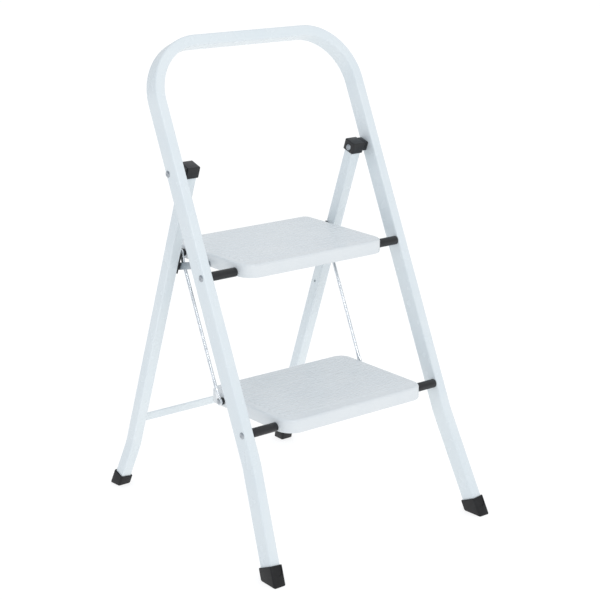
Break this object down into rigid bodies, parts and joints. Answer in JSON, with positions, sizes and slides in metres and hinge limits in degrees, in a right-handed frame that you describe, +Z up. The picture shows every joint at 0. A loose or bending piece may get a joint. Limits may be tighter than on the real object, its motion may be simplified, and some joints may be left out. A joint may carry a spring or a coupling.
{
  "type": "folding step stool",
  "caption": "Two-step folding stool with a hoop handrail frame, hinged rear frame, ribbed pressed steel treads and tie rods that fold them together.",
  "frame": {"origin": "on the floor under the middle of the overall box, open and standing", "axes": "+Z up, +X to the right seen from the front, +Y to the back"},
  "size_m": [0.4686, 0.5122, 0.8],
  "materials": {
    "white_frame": "gloss powder coat",
    "white_tread": "gloss powder coat",
    "zinc_steel": "bright zinc plate",
    "black_plastic": "satin moulded nylon",
    "black_rubber": "matte"
  },
  "bodies": {
    "front": {"front_frame": "white_frame", "front_foot_left": "black_rubber", "front_foot_right": "black_rubber", "frame_rivet_left": "zinc_steel", "frame_rivet_right": "zinc_steel", "upper_pivot_rod": "zinc_steel", "lower_pivot_rod": "zinc_steel", "upper_sleeve_left": "black_plastic", "upper_sleeve_right": "black_plastic", "lower_sleeve_left": "black_plastic", "lower_sleeve_right": "black_plastic"},
    "rear": {"rear_leg_left": "white_frame", "rear_leg_right": "white_frame", "hinge_cap_left": "black_plastic", "hinge_cap_right": "black_plastic", "rear_foot_left": "black_rubber", "rear_foot_right": "black_rubber", "rear_brace": "white_frame", "leg_guide_left": "black_plastic", "leg_guide_right": "black_plastic", "link_rivet_left": "zinc_steel", "link_rivet_right": "zinc_steel"},
    "upper_step": {"upper_tread": "white_tread", "upper_stiffener": "white_tread", "upper_tie_rivet_left": "zinc_steel", "upper_tie_rivet_right": "zinc_steel", "upper_tie_bush_left": "black_plastic", "upper_tie_bush_right": "black_plastic"},
    "lower_step": {"lower_tread": "white_tread", "lower_stiffener": "white_tread", "lower_tie_rivet_left": "zinc_steel", "lower_tie_rivet_right": "zinc_steel", "lower_tie_bush_left": "black_plastic", "lower_tie_bush_right": "black_plastic"},
    "tie_left": {"tie_rod_left": "zinc_steel"},
    "tie_right": {"tie_rod_right": "zinc_steel"},
    "link_left": {"fold_link_left": "zinc_steel", "link_stud_left": "zinc_steel"},
    "link_right": {"fold_link_right": "zinc_steel", "link_stud_right": "zinc_steel"}
  },
  "joints": [
    {"name": "rear_fold", "type": "hinge", "parent": "front", "child": "rear", "pos_m": [0, 0.04598, 0.5955], "axis": [-1, 0, 0], "range_deg": [0, 42.59]},
    {"name": "upper_step_fold", "type": "hinge", "parent": "front", "child": "upper_step", "pos_m": [0, -0.04178, 0.4443], "axis": [1, 0, 0], "range_deg": [0, 55.31]},
    {"name": "lower_step_fold", "type": "hinge", "parent": "front", "child": "lower_step", "pos_m": [0, -0.14757, 0.2143], "axis": [1, 0, 0], "range_deg": [0, 55.31]},
    {"name": "tie_pivot_left", "type": "hinge", "parent": "upper_step", "child": "tie_left", "pos_m": [-0.1544, 0.09722, 0.4476], "axis": [-1, 0, 0], "range_deg": [0, 55.31]},
    {"name": "tie_pivot_right", "type": "hinge", "parent": "upper_step", "child": "tie_right", "pos_m": [0.1544, 0.09722, 0.4476], "axis": [-1, 0, 0], "range_deg": [0, 55.31]},
    {"name": "link_pivot_left", "type": "hinge", "parent": "rear", "child": "link_left", "pos_m": [-0.16, 0.10303, 0.424], "axis": [-1, 0, 0], "range_deg": [0, 55.74]},
    {"name": "link_pivot_right", "type": "hinge", "parent": "rear", "child": "link_right", "pos_m": [0.16, 0.10303, 0.424], "axis": [-1, 0, 0], "range_deg": [0, 55.74]}
  ],
  "couplings": [
    {"joint": "upper_step_fold", "follows": "rear_fold", "ratio": 1.2984},
    {"joint": "lower_step_fold", "follows": "rear_fold", "ratio": 1.2984},
    {"joint": "tie_pivot_left", "follows": "rear_fold", "ratio": 1.2984},
    {"joint": "tie_pivot_right", "follows": "rear_fold", "ratio": 1.2984},
    {"joint": "link_pivot_left", "follows": "rear_fold", "ratio": 1.3085},
    {"joint": "link_pivot_right", "follows": "rear_fold", "ratio": 1.3085}
  ]
}
